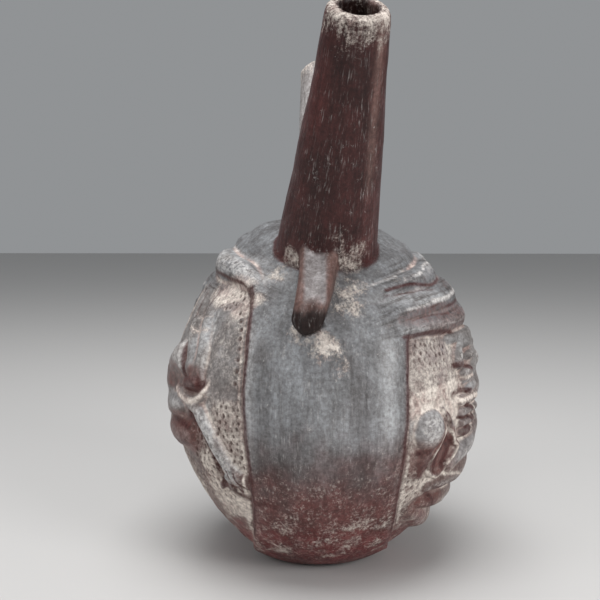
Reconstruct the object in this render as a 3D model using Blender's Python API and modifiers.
"""Double spout bottle of fired clay: a hollow moulded body, two leaning spouts and a strap between them.

The origin is on the flat base. +Z is up, the spouts lean along -Y and +Y, and the two moulded
faces look along +X and -X. Both faces come from one mould, so the second is the first turned half
round the upright axis. A place on a face is given as (u, v): u runs to the right and v upwards, for
someone who looks straight at that face, from the middle of the body.
"""
import math

import bmesh
import bpy
from mathutils import Matrix, Vector

MM = 0.001

# Body: two half ellipsoids that meet at the widest level, cut flat below.
BODY_HALF_X = 71.0 * MM
BODY_HALF_Y = 80.0 * MM
WIDEST_Z = 73.2 * MM
CROWN_RISE = 77.5 * MM
LOWER_DEPTH = 78.8 * MM
LOWER_TAPER = 0.25
BASE_DRIFT = 2.5 * MM
SHOULDER_SWELL = 3.8 * MM
SHOULDER_PLACE = Vector((-29.5, -2.0, 141.0)) * MM
SHOULDER_REACH = 21.0 * MM
BODY_SIDES = 52
BODY_RINGS = 24

# Moulded faces: discs let into the body, deeper in the middle than at the edge.
FACE_EDGE_ANGLE = math.radians(65.0)
FACE_FOOT_ANGLE = math.radians(62.8)
FACE_EDGE_DEPTH = 2.0 * MM
FACE_MIDDLE_DEPTH = 3.6 * MM
FACE_RINGS = 8

# Walls and the hollow inside.
WALL = 5.5 * MM
FACE_WALL = 9.0 * MM
FLOOR = 7.0 * MM
HOLLOW_SIDES = 28
HOLLOW_RINGS = 12

# Spouts: straight cones that lean outwards, with a worn round lip.
SPOUT_FOOT_RADIUS = 21.2 * MM
SPOUT_TIP_RADIUS = 11.9 * MM
SPOUT_NECK_PLACE = 0.76
SPOUT_NECK_RADIUS = 13.4 * MM
SPOUT_ROOT = 20.0 * MM
SPOUT_FOOT_Y = 37.7 * MM
SPOUT_FOOT_Z = 141.6 * MM
SPOUT_TIP_Y = 92.4 * MM
FRONT_TIP_Z = 226.8 * MM
REAR_TIP_Z = 228.0 * MM
FRONT_SPOUT_X = (1.7 * MM, 12.5 * MM)
REAR_SPOUT_X = (6.0 * MM, -0.6 * MM)
LIP_ROUND = 2.4 * MM
LIP_CORNER = 0.3
BORE_TIP_RADIUS = 6.9 * MM
BORE_FOOT_RADIUS = 15.0 * MM
BORE_ROOT = 26.0 * MM
SPOUT_SIDES = 28

# Strap between the spouts, and a lug at the outer foot of each spout.
STRAP_WIDTH = 20.0 * MM
STRAP_THICKNESS = 8.0 * MM
STRAP_X = 4.5 * MM
STRAP_HALF_SPAN = 60.0 * MM
STRAP_END_Z = 180.0 * MM
STRAP_ARCH = 7.0 * MM
STRAP_STEPS = 10
LUG_WIDTH = 15.0 * MM
LUG_THICKNESS = 9.5 * MM
LUG_START = Vector((-1.5, -52.5, 138.5)) * MM
LUG_BEND = Vector((-3.9, -73.0, 117.5)) * MM
LUG_END = Vector((-5.0, -75.0, 108.5)) * MM
BAR_CHAMFER = 0.3

# Rolls of clay pressed on the faces: rings between two stations, the curve's bevel resolution, and the
# rings that round each end, as (reach, share) of the radius.
BOLD = (2, 2, ((0.55, 0.83), (0.85, 0.5)))
SLIGHT = (1, 1, ((0.7, 0.6),))

# Pads of clay on the faces: how deep a pad goes as a share of its breadth, and its mesh.
PAD_DEPTH = 0.75
PAD_SIDES = 12
PAD_RINGS = 8

# Fingers: four short rolls, one below the other, whose tips draw in downwards.
FINGERS = 4
FINGER_RADIUS = 2.1
FINGER_TOP_V = 2.4
FINGER_PITCH = 4.7
FINGER_ROOT_U = -28.0
FINGER_TIP_U = -45.0
FINGER_DRAW_IN = 0.36

# Leaf-shaped loop: a thin roll bent round an ellipse, open for a seventh of its length.
LEAF_MIDDLE = Vector((-51.5, -13.0))
LEAF_HALF_WIDTH = 4.6
LEAF_HALF_HEIGHT = 13.5
LEAF_LEAN = math.radians(-20.0)
LEAF_START = math.radians(70.0)
LEAF_SHARE = 0.86
LEAF_STEPS = 7


def skin_point(direction):
    """The point of the plain body skin that lies in a direction of the unit sphere."""
    below = max(0.0, -direction.z) * LOWER_DEPTH / WIDEST_Z
    narrowing = 1.0 - LOWER_TAPER * below ** 3 * max(0.0, 1.0 - below)
    half_z = CROWN_RISE if direction.z > 0.0 else LOWER_DEPTH
    return Vector((
        BODY_HALF_X * narrowing * direction.x - BASE_DRIFT * below ** 3,
        BODY_HALF_Y * narrowing * direction.y,
        WIDEST_Z + half_z * direction.z,
    ))


def skin_normal(direction):
    """The outward normal of the plain body skin in a direction of the unit sphere."""
    half_z = CROWN_RISE if direction.z > 0.0 else LOWER_DEPTH
    return Vector((
        direction.x / BODY_HALF_X,
        direction.y / BODY_HALF_Y,
        direction.z / half_z,
    )).normalized()


def skin_on_face(u, v):
    """The skin point and normal at a place on the +X face."""
    half_z = CROWN_RISE if v > 0.0 else LOWER_DEPTH
    up = v / half_z
    below = max(0.0, -v / WIDEST_Z)
    narrowing = 1.0 - LOWER_TAPER * below ** 3 * max(0.0, 1.0 - below)
    along = u / (BODY_HALF_Y * narrowing)
    across = math.sqrt(max(0.0, 1.0 - up * up - along * along))
    direction = Vector((across, along, up))
    return skin_point(direction), skin_normal(direction)


def ring_angle(even_angle):
    """Moves the body's rings so that two of them stand on the edge of each moulded face."""
    mirrored = even_angle > math.pi / 2.0
    angle = math.pi - even_angle if mirrored else even_angle
    place = angle / math.pi * BODY_RINGS
    if place <= FACE_RINGS:
        moved = FACE_FOOT_ANGLE * place / FACE_RINGS
    else:
        band_rings = BODY_RINGS / 2.0 - FACE_RINGS - 1.0
        share = max(0.0, place - FACE_RINGS - 1.0) / band_rings
        moved = FACE_EDGE_ANGLE + (math.pi / 2.0 - FACE_EDGE_ANGLE) * share
    return math.pi - moved if mirrored else moved


def face_depth(angle):
    """How deep the ground of a moulded face lies under the skin, at an angle from the X axis."""
    from_axis = min(angle, math.pi - angle)
    if from_axis > FACE_FOOT_ANGLE + 1e-4:
        return 0.0
    middle_share = 1.0 - (from_axis / FACE_FOOT_ANGLE) ** 2
    return FACE_EDGE_DEPTH + (FACE_MIDDLE_DEPTH - FACE_EDGE_DEPTH) * middle_share


def shoulder_swell(point):
    """The shoulder is fuller on one side, where the clay was joined by hand."""
    distance = (point - SHOULDER_PLACE).length
    return SHOULDER_SWELL * math.exp(-(distance / SHOULDER_REACH) ** 2)


def put_in(collection, name, mesh):
    """Makes an object of a mesh and puts it in a collection."""
    item = bpy.data.objects.new(name, mesh)
    collection.objects.link(item)
    return item


def mesh_from(bm, name):
    """Writes a bmesh to a new mesh."""
    bmesh.ops.recalc_face_normals(bm, faces=bm.faces)
    mesh = bpy.data.meshes.new(name)
    bm.to_mesh(mesh)
    bm.free()
    return mesh


def cut_flat_below(bm, height):
    """Cuts a closed mesh off at a height and closes it with a flat floor."""
    everything = bm.verts[:] + bm.edges[:] + bm.faces[:]
    bmesh.ops.bisect_plane(
        bm, geom=everything, dist=1e-7,
        plane_co=(0.0, 0.0, height), plane_no=(0.0, 0.0, -1.0), clear_outer=True)
    rim = [edge for edge in bm.edges if edge.is_boundary]
    bmesh.ops.holes_fill(bm, edges=rim, sides=0)


def sphere_on_x_axis(sides, rings):
    """A unit sphere whose poles lie on the X axis, in the middle of the two faces."""
    bm = bmesh.new()
    turn = Matrix.Rotation(math.pi / 2.0, 4, "Y")
    bmesh.ops.create_uvsphere(bm, u_segments=sides, v_segments=rings, radius=1.0, matrix=turn)
    return bm


def make_body(collection):
    """The solid body with its two sunken faces and its flat base."""
    bm = sphere_on_x_axis(BODY_SIDES, BODY_RINGS)
    for vert in bm.verts:
        around = Vector((0.0, vert.co.y, vert.co.z))
        around = around.normalized() if around.length > 1e-6 else Vector((0.0, 0.0, 0.0))
        angle = ring_angle(math.acos(max(-1.0, min(1.0, vert.co.x))))
        direction = Vector((math.cos(angle), 0.0, 0.0)) + around * math.sin(angle)
        point = skin_point(direction)
        lift = shoulder_swell(point) - face_depth(angle)
        vert.co = point + skin_normal(direction) * lift
    cut_flat_below(bm, 0.0)
    return put_in(collection, "bottle", mesh_from(bm, "bottle"))


def make_hollow(collection):
    """The empty space inside the body."""
    bm = sphere_on_x_axis(HOLLOW_SIDES, HOLLOW_RINGS)
    for vert in bm.verts:
        point = skin_point(vert.co)
        middle = Vector((0.0, 0.0, WIDEST_Z))
        shrink = Vector((
            1.0 - FACE_WALL / BODY_HALF_X,
            1.0 - WALL / BODY_HALF_Y,
            1.0 - WALL / CROWN_RISE,
        ))
        offset = point - middle
        vert.co = middle + Vector((offset.x * shrink.x, offset.y * shrink.y, offset.z * shrink.z))
    cut_flat_below(bm, FLOOR)
    return put_in(collection, "body_hollow", mesh_from(bm, "body_hollow"))


def turned(collection, name, outline):
    """A turned solid whose outline runs down its outer side, as (radius, height) pairs."""
    mesh = bpy.data.meshes.new(name)
    corners = [(radius, 0.0, height) for radius, height in outline]
    edges = [(index, index + 1) for index in range(len(outline) - 1)]
    mesh.from_pydata(corners, edges, [])
    item = put_in(collection, name, mesh)
    screw = item.modifiers.new("turn", "SCREW")
    screw.axis = "Z"
    screw.steps = SPOUT_SIDES
    screw.render_steps = SPOUT_SIDES
    screw.use_merge_vertices = True
    screw.merge_threshold = 0.00001
    return item


def stand_on_axis(item, foot, tip):
    """Places a turned solid with its own Z axis along a spout."""
    item.location = foot
    item.rotation_mode = "QUATERNION"
    item.rotation_quaternion = (tip - foot).to_track_quat("Z", "Y")


def make_spout(added, cutters, name, sign, x_range, tip_z):
    """One spout and the bore cut through it into the body; sign is -1 in front and +1 behind."""
    foot = Vector((x_range[0], sign * SPOUT_FOOT_Y, SPOUT_FOOT_Z))
    tip = Vector((x_range[1], sign * SPOUT_TIP_Y, tip_z))
    length = (tip - foot).length
    neck_height = SPOUT_NECK_PLACE * length
    slope = (SPOUT_FOOT_RADIUS - SPOUT_NECK_RADIUS) / neck_height
    outline = [(0.0, length)]
    outline.append((SPOUT_TIP_RADIUS - LIP_ROUND, length))
    corner = LIP_CORNER * LIP_ROUND
    outline.append((SPOUT_TIP_RADIUS - corner, length - corner))
    outline.append((SPOUT_TIP_RADIUS, length - LIP_ROUND))
    outline.append((SPOUT_NECK_RADIUS, neck_height))
    outline.append((SPOUT_FOOT_RADIUS, 0.0))
    outline.append((SPOUT_FOOT_RADIUS + slope * SPOUT_ROOT, -SPOUT_ROOT))
    outline.append((0.0, -SPOUT_ROOT))
    stand_on_axis(turned(added, name, outline), foot, tip)

    past_lip = 1.0 * MM
    bore = [(0.0, length + past_lip)]
    bore.append((BORE_TIP_RADIUS + LIP_ROUND, length + past_lip))
    bore.append((BORE_TIP_RADIUS, length - LIP_ROUND))
    bore.append((BORE_FOOT_RADIUS, 0.0))
    bore.append((BORE_FOOT_RADIUS, -BORE_ROOT))
    bore.append((0.0, -BORE_ROOT))
    stand_on_axis(turned(cutters, name + "_bore", bore), foot, tip)


def smooth_path(stations, steps):
    """Values along a smooth curve through the stations, a Catmull-Rom spline."""
    ends = [stations[0] * 2.0 - stations[1]] + stations + [stations[-1] * 2.0 - stations[-2]]
    path = []
    for index in range(1, len(ends) - 2):
        before, start, end, after = ends[index - 1:index + 3]
        for step in range(steps):
            t = step / steps
            bend = (before * -1.0 + start * 3.0 - end * 3.0 + after) * t ** 3
            sway = (before * 2.0 - start * 5.0 + end * 4.0 - after) * t ** 2
            path.append((start * 2.0 + (end - before) * t + sway + bend) * 0.5)
    path.append(stations[-1])
    return path


def bar(collection, name, path, width, thickness):
    """A bar with broad chamfers, swept along a path that lies in an upright plane."""
    bm = bmesh.new()
    half_w = width / 2.0
    half_t = thickness / 2.0
    chamfer = BAR_CHAMFER * thickness
    section = [
        (half_w, half_t - chamfer), (half_w - chamfer, half_t),
        (chamfer - half_w, half_t), (-half_w, half_t - chamfer),
        (-half_w, chamfer - half_t), (chamfer - half_w, -half_t),
        (half_w - chamfer, -half_t), (half_w, chamfer - half_t),
    ]
    rings = []
    for index, point in enumerate(path):
        ahead = path[min(index + 1, len(path) - 1)]
        behind = path[max(index - 1, 0)]
        forward = (ahead - behind).normalized()
        side = Vector((1.0, 0.0, 0.0))
        out = side.cross(forward).normalized()
        ring = [bm.verts.new(point + side * across + out * lift) for across, lift in section]
        rings.append(ring)
    for ring in rings:
        for index, vert in enumerate(ring):
            bm.edges.new((vert, ring[(index + 1) % len(ring)]))
    for first, second in zip(rings, rings[1:]):
        both = [vert for ring in (first, second) for vert in ring]
        edges = {edge for vert in both for edge in vert.link_edges
                 if edge.verts[0] in both and edge.verts[1] in both}
        bmesh.ops.bridge_loops(bm, edges=list(edges))
    bm.faces.new(rings[0])
    bm.faces.new(rings[-1])
    return put_in(collection, name, mesh_from(bm, name))


def make_strap(added):
    """The arched strap that joins the spouts."""
    path = []
    for index in range(STRAP_STEPS + 1):
        along = -1.0 + 2.0 * index / STRAP_STEPS
        height = STRAP_END_Z + STRAP_ARCH * (1.0 - along * along)
        path.append(Vector((STRAP_X, along * STRAP_HALF_SPAN, height)))
    return bar(added, "strap", path, STRAP_WIDTH, STRAP_THICKNESS)


def make_lugs(added):
    """A bent lug at the outer foot of each spout, running down over the shoulder."""
    path = smooth_path([LUG_START, (LUG_START + LUG_BEND) / 2.0, LUG_BEND, LUG_END], 3)
    front = bar(added, "front_lug", path, LUG_WIDTH, LUG_THICKNESS)
    rear = put_in(added, "rear_lug", front.data.copy())
    rear.rotation_euler = (0.0, 0.0, math.pi)


def roll(collection, name, stations, fineness=BOLD):
    """A roll of clay pressed on the two faces.

    Each station is (u, v, radius, crest) in millimetres; crest is how far its top stands above
    the plain skin. The ends are rounded.
    """
    rings_per_span, resolution, caps = fineness
    values = smooth_path([Vector(station) for station in stations], rings_per_span)
    first, last = values[0], values[-1]
    start_step = (values[0] - values[1]).normalized()
    end_step = (values[-1] - values[-2]).normalized()
    start_caps = [rounded_end(first, start_step, reach, share) for reach, share in reversed(caps)]
    end_caps = [rounded_end(last, end_step, reach, share) for reach, share in caps]
    curve = bpy.data.curves.new(name, "CURVE")
    curve.dimensions = "3D"
    curve.bevel_depth = MM
    curve.bevel_resolution = resolution
    curve.use_fill_caps = True
    places = start_caps + values + end_caps
    spline = curve.splines.new("POLY")
    spline.points.add(len(places) - 1)
    for point, (u, v, radius, crest) in zip(spline.points, places):
        skin, normal = skin_on_face(u * MM, v * MM)
        centre = skin + normal * ((crest - radius) * MM)
        point.co = (centre.x, centre.y, centre.z, 1.0)
        point.radius = radius
    return pressed_on_both_faces(collection, name, curve)


def rounded_end(place, step, reach, share):
    """One ring past the end of a roll, drawn in so that the end is round."""
    u, v, radius, crest = place
    along = Vector((step[0], step[1])).normalized() * radius * reach
    return Vector((u + along.x, v + along.y, radius * share, crest - radius * (1.0 - share)))


def pressed_on_both_faces(collection, name, curve):
    """Turns a curve into a closed mesh, once on each face."""
    guide = put_in(collection, name, curve)
    bpy.context.view_layer.update()
    seen = guide.evaluated_get(bpy.context.evaluated_depsgraph_get())
    mesh = bpy.data.meshes.new_from_object(seen)
    bpy.data.objects.remove(guide)
    bm = bmesh.new()
    bm.from_mesh(mesh)
    bmesh.ops.remove_doubles(bm, verts=bm.verts, dist=1e-7)
    bmesh.ops.recalc_face_normals(bm, faces=bm.faces)
    bm.to_mesh(mesh)
    bm.free()
    put_in(collection, name, mesh)
    turned_round = put_in(collection, name + "_other_face", mesh)
    turned_round.rotation_euler = (0.0, 0.0, math.pi)


def pad(collection, name, centre, half_u, half_v, rise, lean=0.0):
    """A rounded pad of clay on both faces: a squashed sphere, leaning by an angle in the face.

    centre is (u, v), and every size is in millimetres; rise is how far it stands above the skin.
    """
    skin, normal = skin_on_face(centre[0] * MM, centre[1] * MM)
    sideways = Vector((0.0, 0.0, 1.0)).cross(normal).normalized()
    upwards = normal.cross(sideways)
    frame = Matrix((sideways, upwards, normal)).transposed().to_4x4()
    half_n = 0.5 * (half_u + half_v) * PAD_DEPTH
    size = Matrix.Diagonal((half_u * MM, half_v * MM, half_n * MM, 1.0))
    centre_point = skin + normal * ((rise - half_n) * MM)
    place = Matrix.Translation(centre_point) @ frame @ Matrix.Rotation(lean, 4, "Z") @ size
    bm = bmesh.new()
    bmesh.ops.create_uvsphere(
        bm, u_segments=PAD_SIDES, v_segments=PAD_RINGS, radius=1.0, matrix=place)
    mesh = mesh_from(bm, name)
    put_in(collection, name, mesh)
    turned_round = put_in(collection, name + "_other_face", mesh)
    turned_round.rotation_euler = (0.0, 0.0, math.pi)


def make_headdress(added):
    """Strands in front, one thick roll behind, and a streamer that hangs from it over the back."""
    roll(added, "upper_strand", [(-62, 46, 3.5, 0.4), (-52, 50.5, 5.0, 1.6), (-33, 54, 6.0, 2.2),
                                 (-12, 58, 5.5, 0.0)])
    roll(added, "middle_strand", [(-66, 38, 3.0, 0.0), (-56, 41, 4.0, 1.8), (-36, 44, 4.8, 2.8),
                                  (-19, 46, 5.0, 2.0), (-11, 47, 4.6, -1.6)])
    roll(added, "lower_strand", [(-65, 33.5, 2.6, 0.0), (-53, 35, 3.8, 1.4), (-28, 36, 4.6, 2.0),
                                 (-11, 38, 4.0, -1.8)])
    roll(added, "brow_strand", [(-44, 29.5, 2.6, -0.4), (-30, 29, 3.6, 0.8), (-11, 29, 3.6, -2.0)], SLIGHT)
    roll(added, "head_roll", [(-12, 58, 5.5, -1.2), (12, 59.5, 6.2, 1.4), (34, 57, 6.6, 3.2),
                              (48, 53, 5.0, 2.2), (56, 48, 3.6, 0.6)])
    roll(added, "streamer", [(34, 48, 6.0, -2.4), (40, 39.5, 6.2, -1.4), (47.5, 27, 5.4, -0.6),
                             (50.8, 12.5, 4.8, 0.3)])
    roll(added, "streamer_end", [(38, 5, 2.3, -0.8), (48, 2.8, 2.6, -0.3), (56, 7, 2.0, -0.6)], SLIGHT)


def make_head(added):
    """The head in profile, with a plain brow, nose, lips and chin."""
    pad(added, "skull", (-24, 19), 17.0, 15.0, 0.6)
    roll(added, "nose", [(-38, 25.5, 2.4, 0.0), (-42, 18.5, 2.8, 0.5)], SLIGHT)
    roll(added, "lips", [(-33, 13.0, 2.6, 0.2), (-40, 12.8, 2.6, 0.2)], SLIGHT)
    roll(added, "chin", [(-29, 7.5, 2.8, -0.1), (-36.5, 7.2, 2.8, 0.1)], SLIGHT)


def make_trunk_and_limbs(added):
    """The crouching figure's trunk, arm, hand and legs, and the ground under it."""
    roll(added, "trunk", [(-16, 4, 8.0, -0.8), (4, 4, 11.0, 0.0), (22, 7, 10.0, 0.3)])
    roll(added, "shoulder", [(2, 10, 9.0, -0.6), (17, 13, 9.5, 0.2), (31, 19.5, 8.6, 0.9),
                             (40.5, 16, 5.4, 0.4)])
    roll(added, "thigh", [(8, -12, 10.0, -0.8), (24, -14.5, 10.0, 0.4), (41, -13, 7.6, 0.3)])
    roll(added, "shin", [(46, 1, 3.2, -0.8), (54.5, -1, 3.8, 0.5), (60, -12, 3.4, 0.6),
                         (63.6, -26, 4.2, 0.5)])
    roll(added, "foot", [(63, -28, 3.4, 0.2), (64.5, -32, 2.8, -0.6)], SLIGHT)
    roll(added, "back_leg", [(-6, -12, 8.0, -0.8), (-20, -17, 8.6, 0.3), (-34, -20.5, 7.0, 0.8),
                             (-44, -25, 5.0, 0.0)])
    roll(added, "instep", [(-2, -29, 7.0, -1.4), (-18, -31.5, 9.0, 0.4), (-34, -32, 7.0, 0.8),
                           (-51, -33, 3.6, -0.6)])
    roll(added, "upper_ground", [(-2, -45.5, 5.6, -1.6), (-20, -43.5, 6.6, 0.1), (-38, -42, 5.0, 0.2),
                                 (-48, -41, 3.6, -0.6)], SLIGHT)
    roll(added, "lower_ground", [(-2, -58, 6.4, -1.8), (-18, -56.5, 8.0, 0.3), (-34, -52.5, 6.2, 0.2),
                                 (-50, -44, 3.2, -1.0)], SLIGHT)
    for index in range(FINGERS):
        height = FINGER_TOP_V - FINGER_PITCH * index
        tip = FINGER_TIP_U + FINGER_DRAW_IN * index ** 2
        roll(added, "finger_%d" % (index + 1), [
            (FINGER_ROOT_U, height, FINGER_RADIUS, -0.3),
            (tip, height, FINGER_RADIUS, -0.1),
        ], SLIGHT)


def make_gourd(added):
    """The round gourd with its neck turned down, and the leaf-shaped loop beside it."""
    pad(added, "gourd", (-62.5, -5.8), 8.8, 9.8, 2.3, lean=math.radians(-8.0))
    roll(added, "gourd_neck", [(-62.3, -14, 5.4, 0.3), (-61.6, -20, 4.0, -0.6), (-60, -26, 2.4, -1.4)])
    stations = []
    for index in range(LEAF_STEPS + 1):
        turn = LEAF_START + 2.0 * math.pi * LEAF_SHARE * index / LEAF_STEPS
        across = LEAF_HALF_WIDTH * math.cos(turn)
        along = LEAF_HALF_HEIGHT * math.sin(turn)
        u = LEAF_MIDDLE.x + across * math.cos(LEAF_LEAN) - along * math.sin(LEAF_LEAN)
        v = LEAF_MIDDLE.y + across * math.sin(LEAF_LEAN) + along * math.cos(LEAF_LEAN)
        stations.append((u, v, 1.5, -0.5))
    roll(added, "leaf_loop", stations, SLIGHT)


def clay_material():
    """Burnished grey-brown fired clay."""
    material = bpy.data.materials.new("fired_clay")
    material.use_nodes = True
    shader = material.node_tree.nodes["Principled BSDF"]
    shader.inputs["Base Color"].default_value = (0.165, 0.140, 0.130, 1.0)
    shader.inputs["Roughness"].default_value = 0.55
    shader.inputs["Metallic"].default_value = 0.0
    return material


def merge_all(body, added, cutters):
    """Joins everything that is clay and cuts the hollow out of it, as modifiers on the body.

    The rolls run along the skin at a shallow angle, where the exact solver leaves open edges, so
    the manifold solver joins them; every piece here is closed.
    """
    for operation, collection in (("UNION", added), ("DIFFERENCE", cutters)):
        step = body.modifiers.new(operation.lower(), "BOOLEAN")
        step.operation = operation
        step.operand_type = "COLLECTION"
        step.collection = collection
        step.solver = "MANIFOLD"
        for item in collection.objects:
            item.hide_render = True
            item.display_type = "WIRE"


def main():
    for item in list(bpy.data.objects):
        bpy.data.objects.remove(item)
    parts = bpy.data.collections.new("double_spout_bottle")
    added = bpy.data.collections.new("clay_added")
    cutters = bpy.data.collections.new("hollow_cutters")
    for collection in (parts, added, cutters):
        bpy.context.scene.collection.children.link(collection)

    body = make_body(parts)
    make_hollow(cutters)
    make_spout(added, cutters, "front_spout", -1.0, FRONT_SPOUT_X, FRONT_TIP_Z)
    make_spout(added, cutters, "rear_spout", 1.0, REAR_SPOUT_X, REAR_TIP_Z)
    make_strap(added)
    make_lugs(added)
    make_headdress(added)
    make_head(added)
    make_trunk_and_limbs(added)
    make_gourd(added)
    merge_all(body, added, cutters)
    body.data.materials.append(clay_material())
    body.data.shade_smooth()
    body.data.set_sharp_from_angle(angle=math.radians(50.0))


main()
